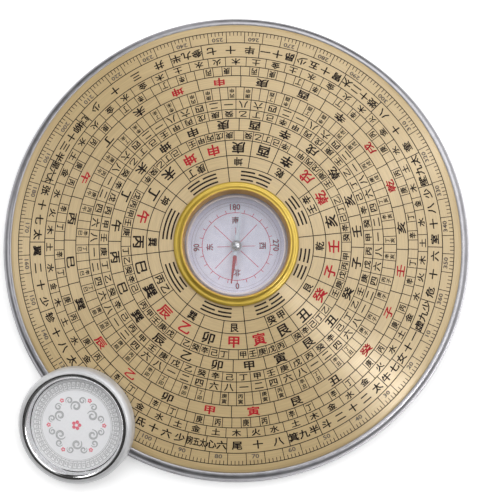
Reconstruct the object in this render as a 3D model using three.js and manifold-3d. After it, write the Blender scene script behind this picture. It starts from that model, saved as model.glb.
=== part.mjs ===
// Feng shui compass: a domed dial plate on a cast metal body, a compass that turns in its middle
// and a loose cap that leans on its edge. Millimetres, +Z up. The origin is under the middle of
// the dial, on the surface that the compass stands on.

import * as THREE from 'three';
import { mergeVertices } from 'three/addons/utils/BufferGeometryUtils.js';
import Module from 'manifold-3d';

const wasm = await Module();
wasm.setup();

// Clearances and steps that all pieces share
const fitGap = 0.3; // between pieces that fit into or over each other
const overrun = 1; // how far a cutting shape runs past the face that it cuts
const largeSides = 56; // sides of the rings as wide as the dial
const middleSides = 40; // sides of the rings as wide as the compass
const smallSides = 16; // sides of pins and screws
const arcSteps = 4; // straight steps in a quarter round

// Dial plate: a printed sheet, pressed into a dome, with a bare margin that falls to the rim
const dialRadius = 93.8;
const domeDrop = 6.7;
const marginWidth = 3.5;
const marginDrop = 1.7;
const plateThickness = 0.8;
const plateSeatWidth = 1.5;
const domeSteps = 4;

// Rim of the cast body
const rimHeight = 7.3;
const rimFootLift = 0.3;
const lipWidth = 0.35;
const lipProud = 0.2;
const rimRound = 2.45;
const rimTuck = 0.95; // how far the groove over the flange lies in from the widest place
const rimFlange = 1; // how far the foot's flange reaches out beyond the round
const rimFlangeThickness = 1;
const rimFlangeBevel = 0.3;
const rimFootWidth = 6.3;
const rimWaistShare = 0.41; // height of the widest place, as a share of the rim's height

// Inside of the cast body
const deckThickness = 1.4;
const coverLedge = 2;
const hubWall = 3;
const ribCount = 6;
const ribThickness = 2;
const ribLift = 2.5; // from the back cover to the ribs and the hub
const bossRadius = 4;
const bossInset = 8;

// Back cover and its screws
const coverThickness = 1.5;
const coverChamfer = 0.4;
const screwRadius = 1.3;
const screwHeadRadius = 2.7;
const screwHeadRecess = 0.25;
const screwLength = 5;
const screwSlotWidth = 0.7;
const screwSlotDepth = 0.6;

// Compass capsule, stacked from the back cover upwards
const capsuleLift = 0.9; // from the back cover to the lock ring
const lockRingThickness = 0.8;
const lockRingWidth = 2.2;
const cupFloor = 1;
const cupWall = 1.6;
const cardThickness = 0.5;
const needleSpace = 4.9; // from the card to the gasket
const gasketThickness = 0.4;
const crystalThickness = 1.2;
const crystalRadius = 23.1;

// Bezel ring that carries the capsule and turns in the body
const bezelShoulder = 0.9; // how far the ring reaches in over the crystal
const wellSlant = 1.2; // how far the wall over the crystal leans out
const collarWall = 0.6;
const sleeveWall = 1.4;
const flangeOverlap = 0.4;
const cushionHeight = 1.4;
const collarHeight = 1.6;
const cushionPeakInset = 1.2;
const circlipThickness = 0.6;
const circlipWidth = 2.2;
const circlipGrooveDepth = 0.6;
const circlipShelf = 0.3; // metal under the circlip's groove

// Seat that the bezel ring turns in
const seatNeckWall = 1;
const seatBarrelWall = 2;
const seatFlangeWidth = 1.7;
const seatFlangeThickness = 0.7;
const washerThickness = 0.5;

// Needle, its jewel cup and its pivot
const needleHeadroom = 0.4;
const hubCapWall = 0.4;
const hubCapRadius = 2.4;
const jewelRoof = 0.3;
const jewelHeight = 1.7;
const jewelRadius = 0.8;
const jewelFlangeThickness = 0.3;
const jewelFlangeRadius = 2.1;
const needleThickness = 0.4;
const needleEyeRadius = 2.2;
const northArm = 16.5;
const southArm = 14.7;
const needleHalfWidth = 0.95;
const needleTipHalfWidth = 0.25;
const needleAngle = THREE.MathUtils.degToRad(-97.3); // where the north arm points in the photograph
const pinRadius = 0.45;
const pinFootRadius = 2;
const pinFootThickness = 0.4;
const pinShankRadius = 1.2;

// Cap: a stamped lid with a sunk floor, an inlaid disc and a felt pad under the floor
const capSheet = 0.5;
const capPlay = 0.6; // between the bezel's collar and the skirt of the cap that goes over it
const capSkirt = 3.4;
const capHeight = 6.4;
const capShoulder = 2.4;
const capSlope = 2.4;
const capFloorHeight = 1.9;
const creaseReach = 0.3; // share of the slope's width where its first bend ends
const creaseDrop = 0.22; // share of the slope's depth that this bend has fallen
const emblemThickness = 0.3;
const feltThickness = 0.8;
const feltInset = 1.2;
const capOverhang = 1.85; // how far outside the rim the middle of the cap lies
const leanPasses = 4; // rounds in which the lean of the cap is worked out
const capBearing = THREE.MathUtils.degToRad(-131.5); // direction of the cap, from +X

// Radii that follow from the sizes above, from the middle outwards
const windowRadius = crystalRadius - bezelShoulder;
const crestRadius = windowRadius + wellSlant;
const collarRadius = crestRadius + collarWall;
const boreRadius = crystalRadius + fitGap;
const sleeveRadius = boreRadius + sleeveWall;
const seatBore = sleeveRadius + fitGap;
const seatNeck = seatBore + seatNeckWall;
const seatBarrel = seatBore + seatBarrelWall;
const seatFlange = seatBarrel + seatFlangeWidth;
const plateHole = seatNeck + fitGap;
const bezelRadius = plateHole + flangeOverlap;
const hubBore = seatBarrel + fitGap;
const hubRecess = seatFlange + fitGap;
const hubRadius = hubBore + hubWall;
const plateRadius = dialRadius + marginWidth;
const lipInner = plateRadius + fitGap;
const lipTop = lipInner + lipWidth;
const bodyRadius = lipTop + rimRound;
const grooveRadius = bodyRadius - rimTuck;
const flangeRadius = bodyRadius + rimFlange;
const footInner = grooveRadius - rimFootWidth;
const coverRadius = footInner - fitGap;
const ledgeRadius = coverRadius - coverLedge;
const bossCircle = coverRadius - bossInset;
const capInner = collarRadius + capPlay;
const capRadius = capInner + capSheet;
const capDistance = bodyRadius + capOverhang; // from the middle of the dial

// Heights that follow from the sizes above
const plateEdge = rimHeight - lipProud;
const ledgeHeight = plateEdge - plateThickness;
const domeEdge = plateEdge + marginDrop;
const domeApex = domeEdge + domeDrop;
const waistHeight = rimHeight * rimWaistShare;
const flangeTop = rimFootLift + rimFlangeThickness;
const lockRingBase = coverThickness + capsuleLift;
const cupBase = lockRingBase + lockRingThickness;
const cardBase = cupBase + cupFloor;
const cardTop = cardBase + cardThickness;
const gasketBase = cardTop + needleSpace;
const crystalBase = gasketBase + gasketThickness;
const crystalTop = crystalBase + crystalThickness;
const grooveBase = lockRingBase + circlipShelf;
const grooveTop = grooveBase + circlipThickness + fitGap;
const seatBase = grooveTop;
const bezelBase = domeHeight(plateHole) + fitGap;
const cushionTop = bezelBase + cushionHeight;
const crestHeight = cushionTop + collarHeight;
const seatTop = bezelBase - washerThickness;
const seatFlangeTop = domeHeight(seatFlange) - plateThickness - fitGap;
const hubTop = seatFlangeTop - seatFlangeThickness;
const hubBase = coverThickness + ribLift;
const hubCapTop = crystalBase - needleHeadroom;
const jewelTop = hubCapTop - hubCapWall - fitGap;
const jewelBase = jewelTop - jewelHeight;
const needleBase = jewelBase + jewelFlangeThickness;
const needleTop = needleBase + needleThickness;
const pinTip = jewelTop - jewelRoof - fitGap;

// Height of the dial plate's upper face at a distance from the middle
function domeHeight(radius) {
  const share = radius / dialRadius;
  return domeApex - domeDrop * share * share;
}

function deckTop(radius) {
  return domeHeight(radius) - plateThickness - fitGap;
}

function deckUnderside(radius) {
  return deckTop(radius) - deckThickness;
}

// Evenly spaced values from one end to the other, both included
function spread(from, to, steps) {
  return Array.from({ length: steps + 1 }, (_, i) => THREE.MathUtils.lerp(from, to, i / steps));
}

// Points of a quarter of an ellipse, from one angle in quarter turns to the next
function quarter(centreR, centreZ, radiusR, radiusZ, fromQuarter, toQuarter) {
  return spread(fromQuarter, toQuarter, arcSteps).map((turn) => {
    const angle = (turn * Math.PI) / 2;
    return [centreR + radiusR * Math.cos(angle), centreZ + radiusZ * Math.sin(angle)];
  });
}

// A closed mesh without doubled corners or flat triangles, its faces pointing out
function tidy(geometry) {
  const bare = new THREE.BufferGeometry();
  bare.setAttribute('position', geometry.getAttribute('position'));
  bare.setIndex(geometry.getIndex());
  const merged = mergeVertices(bare, fitGap / 1000);
  const index = merged.getIndex().array;
  const kept = [];
  for (let i = 0; i < index.length; i += 3) {
    const [a, b, c] = [index[i], index[i + 1], index[i + 2]];
    if (a !== b && b !== c && c !== a) kept.push(a, b, c);
  }
  merged.setIndex(kept);
  merged.computeVertexNormals();
  return merged;
}

// A turned piece: its section, given as [radius, height] points against the clock, goes round Z
function turned(section, sides) {
  const onAxis = section[0][0] === 0;
  const closed = onAxis ? section : [...section, section[0]];
  const points = closed.map(([radius, height]) => new THREE.Vector2(radius, height));
  const geometry = new THREE.LatheGeometry(points, sides);
  geometry.rotateX(Math.PI / 2);
  return tidy(geometry);
}

// A flat ring or disc between two heights
function ring(inner, outer, base, top, sides) {
  return turned([[inner, base], [outer, base], [outer, top], [inner, top]], sides);
}

function toManifold(geometry) {
  const solid = tidy(geometry);
  return new wasm.Manifold(
    new wasm.Mesh({
      numProp: 3,
      vertProperties: new Float32Array(solid.getAttribute('position').array),
      triVerts: new Uint32Array(solid.getIndex().array),
    }),
  );
}

function fromManifold(solid) {
  const mesh = solid.getMesh();
  const geometry = new THREE.BufferGeometry();
  geometry.setAttribute('position', new THREE.BufferAttribute(mesh.vertProperties, 3));
  geometry.setIndex(new THREE.BufferAttribute(mesh.triVerts, 1));
  return tidy(geometry);
}

// A body with shapes added, then others cut away
function carved(geometry, additions, cuts) {
  let solid = toManifold(geometry);
  for (const addition of additions) solid = solid.add(toManifold(addition));
  for (const cut of cuts) solid = solid.subtract(toManifold(cut));
  return fromManifold(solid);
}

// Directions spread evenly round the middle, half a step off the ribs or on them
function around(count, offsetShare) {
  return Array.from({ length: count }, (_, i) => ((i + offsetShare) * 2 * Math.PI) / count);
}

function placeOnCircle(geometry, radius, angle) {
  return tidy(geometry.translate(radius * Math.cos(angle), radius * Math.sin(angle), 0));
}

// Upper face of the dial plate from its hole to its edge
function plateFace() {
  const dome = spread(plateHole, dialRadius, domeSteps).map((radius) => [radius, domeHeight(radius)]);
  const bend = new THREE.QuadraticBezierCurve(
    new THREE.Vector2(dialRadius, domeEdge),
    new THREE.Vector2(plateRadius - marginWidth / 2, domeEdge - marginDrop / 4),
    new THREE.Vector2(plateRadius, plateEdge),
  );
  const margin = bend.getPoints(arcSteps).slice(1);
  return [...dome, ...margin.map((point) => [point.x, point.y])];
}

function dialPlate() {
  const underside = spread(dialRadius - plateThickness, plateHole, domeSteps).map((radius) => [
    radius,
    domeHeight(radius) - plateThickness,
  ]);
  const seat = [[plateRadius, ledgeHeight], [plateRadius - plateSeatWidth, ledgeHeight]];
  return turned([...plateFace().reverse(), ...underside.reverse(), ...seat.reverse()], largeSides);
}

// Section of the cast body: deck, rim, foot, cover ledge, hub and the recess for the seat
function bodySection() {
  const ledgeInner = plateRadius - plateSeatWidth - 2 * fitGap;
  const deckEdge = dialRadius - plateThickness - 2 * fitGap;
  const deck = spread(hubRecess, deckEdge, domeSteps).map((radius) => [radius, deckTop(radius)]);
  const lip = [[ledgeInner, ledgeHeight], [lipInner, ledgeHeight], [lipInner, plateEdge]];
  const upperRound = quarter(lipTop, waistHeight, rimRound, rimHeight - waistHeight, 1, 0);
  const foot = [
    [grooveRadius, flangeTop],
    [flangeRadius - rimFlangeBevel, flangeTop],
    [flangeRadius, flangeTop - rimFlangeBevel],
    [flangeRadius, rimFootLift],
    [footInner, rimFootLift],
    [footInner, coverThickness],
    [ledgeRadius, coverThickness],
  ];
  const underside = spread(ledgeRadius, hubRadius, domeSteps).map((radius) => [
    radius,
    deckUnderside(radius),
  ]);
  const hub = [[hubRadius, hubBase], [hubBore, hubBase], [hubBore, hubTop], [hubRecess, hubTop]];
  return [...deck, ...lip, ...upperRound, ...foot, ...underside, ...hub].reverse();
}

// A rib from the hub to the rim whose upper edge runs inside the deck
function rib(angle) {
  const inner = hubRadius - hubWall / 2;
  const outer = ledgeRadius + coverLedge / 2;
  const outline = spread(outer, inner, domeSteps).map((radius) => [
    radius,
    deckUnderside(radius) + deckThickness / 2,
  ]);
  const shape = new THREE.Shape([
    new THREE.Vector2(inner, hubBase),
    new THREE.Vector2(outer, hubBase),
    ...outline.map(([radius, height]) => new THREE.Vector2(radius, height)),
  ]);
  const geometry = new THREE.ExtrudeGeometry(shape, { depth: ribThickness, bevelEnabled: false });
  geometry.translate(0, 0, -ribThickness / 2);
  geometry.rotateX(Math.PI / 2);
  geometry.rotateZ(angle);
  return tidy(geometry);
}

function bodyCasting() {
  const ribs = around(ribCount, 0).map(rib);
  const bossTop = deckUnderside(bossCircle) + deckThickness / 2;
  const bosses = around(ribCount, 1 / 2).map((angle) =>
    placeOnCircle(ring(0, bossRadius, coverThickness, bossTop, smallSides), bossCircle, angle),
  );
  const holeTop = coverThickness + screwLength - fitGap;
  const holes = around(ribCount, 1 / 2).map((angle) =>
    placeOnCircle(
      ring(0, screwRadius + fitGap, coverThickness - overrun, holeTop, smallSides),
      bossCircle,
      angle,
    ),
  );
  return carved(turned(bodySection(), largeSides), [...ribs, ...bosses], holes);
}

// A cone-headed screw, and the same outline grown by a gap for the hole that it sits in
function screwSection(growth, headBase, length) {
  const coneTop = coverThickness;
  return [
    [0, headBase],
    [screwHeadRadius + growth, headBase],
    [screwHeadRadius + growth, screwHeadRecess],
    [screwRadius + growth, coneTop],
    [screwRadius + growth, length],
    [0, length],
  ];
}

function screw(angle) {
  const tip = coverThickness + screwLength - 2 * fitGap;
  const section = [
    [0, screwHeadRecess],
    ...screwSection(0, screwHeadRecess, tip).slice(2, -1),
    [0, tip],
  ];
  const slot = new THREE.BoxGeometry(2 * (screwHeadRadius + overrun), screwSlotWidth, 2 * screwSlotDepth);
  slot.translate(0, 0, screwHeadRecess);
  return placeOnCircle(carved(turned(section, smallSides), [], [slot]), bossCircle, angle);
}

function backCover() {
  const section = [
    [0, 0],
    [coverRadius - coverChamfer, 0],
    [coverRadius, coverChamfer],
    [coverRadius, coverThickness],
    [0, coverThickness],
  ];
  const holes = around(ribCount, 1 / 2).map((angle) =>
    placeOnCircle(
      turned(screwSection(fitGap, -overrun, coverThickness + overrun), smallSides),
      bossCircle,
      angle,
    ),
  );
  return carved(turned(section, largeSides), [], holes);
}

function compassSeat() {
  return turned(
    [
      [seatBore, seatBase],
      [seatBarrel, seatBase],
      [seatBarrel, hubTop],
      [seatFlange, hubTop],
      [seatFlange, seatFlangeTop],
      [seatNeck, seatFlangeTop],
      [seatNeck, seatTop],
      [seatBore, seatTop],
    ],
    middleSides,
  );
}

// Bezel ring: sleeve with its circlip groove, cushioned flange, collar and the well's slanted wall
function bezelRing() {
  const grooveRadius = sleeveRadius - circlipGrooveDepth;
  const cushionPeak = bezelRadius - cushionPeakInset;
  const valleyDrop = cushionHeight / 4;
  const crestHalf = collarWall / 2;
  return turned(
    [
      [boreRadius, lockRingBase],
      [sleeveRadius, lockRingBase],
      [sleeveRadius, grooveBase],
      [grooveRadius, grooveBase],
      [grooveRadius, grooveTop],
      [sleeveRadius, grooveTop],
      [sleeveRadius, bezelBase],
      [bezelRadius, bezelBase],
      ...quarter(cushionPeak, bezelBase + valleyDrop, cushionPeakInset, cushionHeight - valleyDrop, 0, 1),
      [collarRadius, cushionTop - valleyDrop],
      [collarRadius, crestHeight - crestHalf],
      [crestRadius + crestHalf / 2, crestHeight],
      [crestRadius - crestHalf, crestHeight],
      [crestRadius - collarWall, crestHeight - crestHalf],
      [windowRadius, crystalTop],
      [boreRadius, crystalTop],
    ],
    middleSides,
  );
}

function capsuleCup() {
  const inner = crystalRadius - cupWall;
  const pinHole = pinShankRadius + fitGap;
  return turned(
    [
      [pinHole, cupBase],
      [crystalRadius, cupBase],
      [crystalRadius, gasketBase],
      [inner, gasketBase],
      [inner, cardBase],
      [pinHole, cardBase],
    ],
    middleSides,
  );
}

function pivotPin() {
  const footTop = cardTop + pinFootThickness;
  return turned(
    [
      [0, cupBase + fitGap],
      [pinShankRadius, cupBase + fitGap],
      [pinShankRadius, cardTop],
      [pinFootRadius, cardTop],
      [pinFootRadius, footTop],
      [pinRadius, footTop],
      [pinRadius, jewelBase],
      [0, pinTip],
    ],
    smallSides,
  );
}

// The cup rides on the pin's point, so its hollow is a cone that opens downwards
function jewelCup() {
  const hollowTop = jewelTop - jewelRoof;
  return turned(
    [
      [0, hollowTop],
      [pinRadius + fitGap, jewelBase],
      [jewelFlangeRadius, jewelBase],
      [jewelFlangeRadius, needleBase],
      [jewelRadius, needleBase],
      [jewelRadius, jewelTop],
      [0, jewelTop],
    ],
    smallSides,
  );
}

// A flat bar with an eye in the middle and arms that narrow to blunt tips
function needle() {
  const eyeAngle = Math.asin(needleHalfWidth / needleEyeRadius);
  const outline = new THREE.Shape();
  outline.moveTo(northArm, -needleTipHalfWidth);
  outline.lineTo(northArm, needleTipHalfWidth);
  outline.lineTo(needleEyeRadius * Math.cos(eyeAngle), needleHalfWidth);
  outline.absarc(0, 0, needleEyeRadius, eyeAngle, Math.PI - eyeAngle, false);
  outline.lineTo(-southArm, needleTipHalfWidth);
  outline.lineTo(-southArm, -needleTipHalfWidth);
  outline.lineTo(-needleEyeRadius * Math.cos(eyeAngle), -needleHalfWidth);
  outline.absarc(0, 0, needleEyeRadius, Math.PI + eyeAngle, 2 * Math.PI - eyeAngle, false);
  outline.closePath();
  const eye = new THREE.Path().absarc(0, 0, jewelRadius + fitGap, 0, 2 * Math.PI, true);
  outline.holes.push(eye);
  const geometry = new THREE.ExtrudeGeometry(outline, {
    depth: needleThickness,
    bevelEnabled: false,
    curveSegments: smallSides / 2,
  });
  geometry.translate(0, 0, needleBase);
  return tidy(geometry);
}

function needleHubCap() {
  const dome = quarter(0, needleTop, hubCapRadius, hubCapTop - needleTop, 0, 1);
  const inner = jewelRadius + fitGap;
  const ceiling = hubCapTop - hubCapWall;
  const rise = ceiling - needleTop;
  return turned(
    [
      [0, ceiling],
      [inner - rise / 4, ceiling],
      [inner, ceiling - rise / 4],
      [inner, needleTop],
      ...dome.slice(0, -1),
      [0, hubCapTop],
    ],
    smallSides,
  );
}

// Outer face of the cap, from the skirt's edge over the shoulder and down to the sunk floor
function capFace() {
  const crest = capRadius - capShoulder;
  const floorEdge = crest - capSlope;
  const capDepth = capHeight - capFloorHeight;
  const shoulder = quarter(crest, capSkirt, capShoulder, capHeight - capSkirt, 0, 1);
  const slope = new THREE.CubicBezierCurve(
    new THREE.Vector2(crest, capHeight),
    new THREE.Vector2(crest - capSlope * creaseReach, capHeight - capDepth * creaseDrop),
    new THREE.Vector2(crest - capSlope / 2, capFloorHeight),
    new THREE.Vector2(floorEdge, capFloorHeight),
  );
  const slopePoints = slope.getPoints(arcSteps).slice(1);
  return [[capRadius, 0], ...shoulder, ...slopePoints.map((point) => [point.x, point.y])];
}

// Each point of a bent sheet's face moved in by the sheet's thickness, square to the face
function innerFace(face, thickness) {
  return face.map(([radius, height], i) => {
    const [beforeR, beforeZ] = face[Math.max(i - 1, 0)];
    const [afterR, afterZ] = face[Math.min(i + 1, face.length - 1)];
    const length = Math.hypot(afterR - beforeR, afterZ - beforeZ);
    const inR = -(afterZ - beforeZ) / length;
    const inZ = (afterR - beforeR) / length;
    return [radius + inR * thickness, height + inZ * thickness];
  });
}

function capShell() {
  const face = capFace();
  const inside = innerFace(face, capSheet);
  const under = capFloorHeight - capSheet;
  inside[0] = [capInner, 0];
  inside[inside.length - 1] = [face[face.length - 1][0], under];
  return turned([[0, under], ...inside.reverse(), ...face, [0, capFloorHeight]], middleSides);
}

function capFloorRadius() {
  return capRadius - capShoulder - capSlope;
}

function capEmblemDisc() {
  const top = capFloorHeight + emblemThickness;
  return ring(0, capFloorRadius() - fitGap, capFloorHeight, top, middleSides);
}

function capFeltLiner() {
  const top = capFloorHeight - capSheet;
  return ring(0, capFloorRadius() - feltInset, top - feltThickness, top, middleSides);
}

// The slope at which the cap, its far edge on the table, just clears the plate and the rim with
// its skirt and its liner. The far edge draws in as the cap leans, so each pass comes closer.
function capLean() {
  const linerEdge = capDistance - capFloorRadius() + feltInset;
  const linerBase = capFloorHeight - capSheet - feltThickness;
  const touched = [...plateFace(), [lipTop, rimHeight]];
  let lean = 0;
  for (let pass = 0; pass < leanPasses; pass += 1) {
    const farEdge = capDistance + capRadius * Math.cos(lean);
    const slopes = touched.flatMap(([radius, height]) => {
      const square = radius * radius - capRadius * capRadius + capDistance * capDistance;
      const crossing = square / (2 * capDistance);
      const underSkirt = (height + fitGap) / (farEdge - crossing);
      const underLiner = (height + fitGap - linerBase) / (farEdge - radius);
      return radius > linerEdge ? [underSkirt, underLiner] : [underSkirt];
    });
    lean = Math.atan(Math.max(...slopes));
  }
  return lean;
}

function finish(color, roughness, metalness) {
  return new THREE.MeshStandardMaterial({ color, roughness, metalness });
}

function piece(name, geometry, material) {
  const mesh = new THREE.Mesh(geometry, material);
  mesh.name = name;
  return mesh;
}

const chrome = () => finish('#c8c9cd', 0.12, 1);
const dialGold = () => finish('#c8a86e', 0.4, 0.9);
const brassYellow = () => finish('#d8b84a', 0.25, 1);
const brass = () => finish('#b5924c', 0.35, 1);
const steel = () => finish('#a9abae', 0.3, 1);
const clear = () => finish('#e6ecef', 0.05, 0);

const body = new THREE.Group();
body.add(piece('body_casting', bodyCasting(), chrome()));
body.add(piece('dial_plate', dialPlate(), dialGold()));
body.add(piece('back_cover', backCover(), finish('#3a3a3c', 0.6, 0.2)));
around(ribCount, 1 / 2).forEach((angle, i) => {
  body.add(piece(`cover_screw_${i + 1}`, screw(angle), steel()));
});
body.add(piece('compass_seat', compassSeat(), brass()));
body.add(
  piece(
    'friction_washer',
    ring(seatBore, seatNeck, seatTop, bezelBase, middleSides),
    finish('#e9e6dc', 0.6, 0),
  ),
);

const turningCompass = new THREE.Group();
turningCompass.add(piece('bezel_ring', bezelRing(), brassYellow()));
const circlipInner = sleeveRadius - circlipGrooveDepth + fitGap;
turningCompass.add(
  piece(
    'bezel_circlip',
    ring(circlipInner, circlipInner + circlipWidth, grooveBase, grooveBase + circlipThickness, middleSides),
    steel(),
  ),
);
turningCompass.add(
  piece('crystal', ring(0, crystalRadius, crystalBase, crystalTop, middleSides), clear()),
);
turningCompass.add(
  piece(
    'crystal_gasket',
    ring(crystalRadius - cupWall, crystalRadius, gasketBase, crystalBase, middleSides),
    finish('#d9d4de', 0.5, 0),
  ),
);
turningCompass.add(piece('capsule_cup', capsuleCup(), finish('#dcd8e2', 0.3, 0)));
turningCompass.add(
  piece(
    'compass_card',
    ring(pinShankRadius + fitGap, crystalRadius - cupWall - fitGap, cardBase, cardTop, middleSides),
    finish('#d6d3e0', 0.5, 0),
  ),
);
turningCompass.add(
  piece(
    'capsule_lock_ring',
    ring(crystalRadius - lockRingWidth, crystalRadius, lockRingBase, cupBase, middleSides),
    brass(),
  ),
);
turningCompass.add(piece('pivot_pin', pivotPin(), steel()));

const swingingNeedle = new THREE.Group();
swingingNeedle.rotation.z = needleAngle;
swingingNeedle.add(piece('needle', needle(), finish('#b03a4a', 0.4, 0.3)));
swingingNeedle.add(piece('jewel_cup', jewelCup(), brass()));
swingingNeedle.add(piece('needle_hub_cap', needleHubCap(), chrome()));

const cap = new THREE.Group();
const lean = capLean();
cap.position.set(
  capDistance * Math.cos(capBearing),
  capDistance * Math.sin(capBearing),
  capRadius * Math.sin(lean),
);
cap.rotation.set(0, lean, capBearing, 'ZYX');
cap.add(piece('cap_shell', capShell(), chrome()));
cap.add(piece('cap_emblem_disc', capEmblemDisc(), finish('#c9cace', 0.25, 0.9)));
cap.add(piece('cap_felt_liner', capFeltLiner(), finish('#4a2a2e', 0.95, 0)));

const compass = new THREE.Group();
compass.add(body, turningCompass, swingingNeedle, cap);

export default compass;
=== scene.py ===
"""Looks of the feng shui compass: smooth turned pieces over the solids, the printed rings, and the light.

Sizes are millimetres, scaled to metres where a mesh is made. The frame is the solids' own: +Z up
through the compass pivot, the origin on the surface that the compass stands on.
"""

import math

import bpy
import numpy as np
from mathutils import Matrix, Vector


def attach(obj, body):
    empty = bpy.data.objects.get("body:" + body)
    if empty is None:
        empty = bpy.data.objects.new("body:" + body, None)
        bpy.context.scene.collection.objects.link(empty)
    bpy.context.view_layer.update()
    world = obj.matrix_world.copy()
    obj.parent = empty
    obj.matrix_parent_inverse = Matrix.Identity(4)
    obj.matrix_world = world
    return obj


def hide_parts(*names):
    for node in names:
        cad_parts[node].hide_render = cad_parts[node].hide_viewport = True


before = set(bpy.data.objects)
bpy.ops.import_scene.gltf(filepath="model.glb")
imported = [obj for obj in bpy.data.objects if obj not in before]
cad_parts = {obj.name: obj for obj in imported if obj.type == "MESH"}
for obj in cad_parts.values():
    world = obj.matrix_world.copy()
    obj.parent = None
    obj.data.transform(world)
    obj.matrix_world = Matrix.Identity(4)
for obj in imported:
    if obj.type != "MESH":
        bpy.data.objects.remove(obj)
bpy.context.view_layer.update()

MM = 0.001
GAP = 0.3
INK_LIFT = 0.03
LARGE = 288
MIDDLE = 160
SMALL = 48
SHARP_ANGLE = math.radians(30)
STRAIGHT_COSINE = -0.94
EASE_SHARE = 1 / 2.2

# Dial plate and rim
DIAL_RADIUS = 93.8
DOME_DROP = 6.7
MARGIN_WIDTH = 3.5
MARGIN_DROP = 1.7
# Control points of the margin's bend, in shares of its width and drop
MARGIN_SHARES = ((0, 0), (0.7, 0.2), (0.94, 0.3), (1, 1))
PLATE_THICKNESS = 0.8
PLATE_SEAT_WIDTH = 1.5
RIM_HEIGHT = 7.3
RIM_FOOT_LIFT = 0.3
LIP_WIDTH = 0.35
LIP_PROUD = 0.2
LIP_SEAM = 0.06
RIM_ROUND = 2.45
RIM_TUCK = 0.95
RIM_FLANGE = 1.0
RIM_FLANGE_THICKNESS = 1.0
RIM_FLANGE_EDGE = 0.25
RIM_FOOT_WIDTH = 6.3
RIM_CROWN = 2.0
DECK_THICKNESS = 1.4
COVER_LEDGE = 2.0
COVER_THICKNESS = 1.5
HUB_WALL = 3.0
RIB_COUNT = 6
RIB_THICKNESS = 2.0
RIB_LIFT = 2.5
BOSS_RADIUS = 4.0
BOSS_INSET = 8.0

# Compass capsule and the ring round it
CAPSULE_LIFT = 0.9
LOCK_RING_THICKNESS = 0.8
CUP_FLOOR = 1.0
CUP_WALL = 1.6
CARD_THICKNESS = 0.5
NEEDLE_SPACE = 4.9
GASKET_THICKNESS = 0.4
CRYSTAL_THICKNESS = 1.2
CRYSTAL_RADIUS = 23.1
GLASS_FACE_RADIUS = 20.6
GLASS_BEVEL = 0.9
GLASS_RISE = 0.45
GLASS_TUCK = 0.1
BEZEL_SHOULDER = 0.9
WELL_SLANT = 1.2
COLLAR_WALL = 0.6
SLEEVE_WALL = 1.4
FLANGE_OVERLAP = 0.4
CUSHION_HEIGHT = 1.4
COLLAR_HEIGHT = 1.6
CUSHION_PEAK_INSET = 1.2
# Control points of the valley inside the cushion, out from the collar and up from the cushion's top
VALLEY_POINTS = ((0.8, -0.1), (0.3, 0.2))
VALLEY_END_SHARE = 0.6
# Control point of the well's wall, out from the window and down from the crest
WELL_POINT = (0.35, 2.5)
WALL_EDGE_SHARE = 0.2
CIRCLIP_THICKNESS = 0.6
CIRCLIP_GROOVE_DEPTH = 0.6
CIRCLIP_SHELF = 0.3
SEAT_NECK_WALL = 1.0
PIN_SHANK_RADIUS = 1.2
SEAT_BARREL_WALL = 2.0
SEAT_FLANGE_WIDTH = 1.7
SEAT_FLANGE_THICKNESS = 0.7

# Needle
NEEDLE_HEADROOM = 0.4
HUB_CAP_WALL = 0.4
HUB_CAP_RADIUS = 2.4
JEWEL_HEIGHT = 1.7
JEWEL_RADIUS = 0.8
JEWEL_FLANGE_THICKNESS = 0.3
NEEDLE_THICKNESS = 0.4
NEEDLE_EYE_RADIUS = 2.2
NORTH_ARM = 16.5
SOUTH_ARM = 14.7
NEEDLE_HALF_WIDTH = 0.95
NEEDLE_TIP_RADIUS = 0.25
NEEDLE_ANGLE = math.radians(-97.3)
RED_PAINT_START = 5.0
PAINT_COAT = 0.05

# Cap
CAP_SHEET = 0.5
CAP_PLAY = 0.6
CAP_SKIRT = 3.4
CAP_HEIGHT = 6.4
CAP_SHOULDER = 2.4
CAP_SLOPE = 2.4
CAP_FLOOR_HEIGHT = 1.9
SLOPE_ROUND = 3.2
SLOPE_STEPS = 24
SLOPE_SPREAD = 0.6
EMBLEM_THICKNESS = 0.3
FELT_THICKNESS = 0.8
FELT_INSET = 1.2
CAP_OVERHANG = 1.85
CAP_BEARING = math.radians(-131.5)
CAP_LEAN = math.radians(14.552)

# Radii and heights that follow from the sizes above
WINDOW_RADIUS = CRYSTAL_RADIUS - BEZEL_SHOULDER
CREST_RADIUS = WINDOW_RADIUS + WELL_SLANT
COLLAR_RADIUS = CREST_RADIUS + COLLAR_WALL
BORE_RADIUS = CRYSTAL_RADIUS + GAP
SLEEVE_RADIUS = BORE_RADIUS + SLEEVE_WALL
SEAT_BORE = SLEEVE_RADIUS + GAP
SEAT_NECK = SEAT_BORE + SEAT_NECK_WALL
SEAT_BARREL = SEAT_BORE + SEAT_BARREL_WALL
SEAT_FLANGE = SEAT_BARREL + SEAT_FLANGE_WIDTH
PLATE_HOLE = SEAT_NECK + GAP
BEZEL_RADIUS = PLATE_HOLE + FLANGE_OVERLAP
HUB_BORE = SEAT_BARREL + GAP
HUB_RECESS = SEAT_FLANGE + GAP
HUB_RADIUS = HUB_BORE + HUB_WALL
PLATE_RADIUS = DIAL_RADIUS + MARGIN_WIDTH
LIP_INNER = PLATE_RADIUS + GAP
LIP_TOP = LIP_INNER + LIP_WIDTH
BODY_RADIUS = LIP_TOP + RIM_ROUND
GROOVE_RADIUS = BODY_RADIUS - RIM_TUCK
FLANGE_RADIUS = BODY_RADIUS + RIM_FLANGE
FOOT_INNER = GROOVE_RADIUS - RIM_FOOT_WIDTH
COVER_RADIUS = FOOT_INNER - GAP
LEDGE_RADIUS = COVER_RADIUS - COVER_LEDGE
BOSS_CIRCLE = COVER_RADIUS - BOSS_INSET
CAP_INNER = COLLAR_RADIUS + CAP_PLAY
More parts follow.
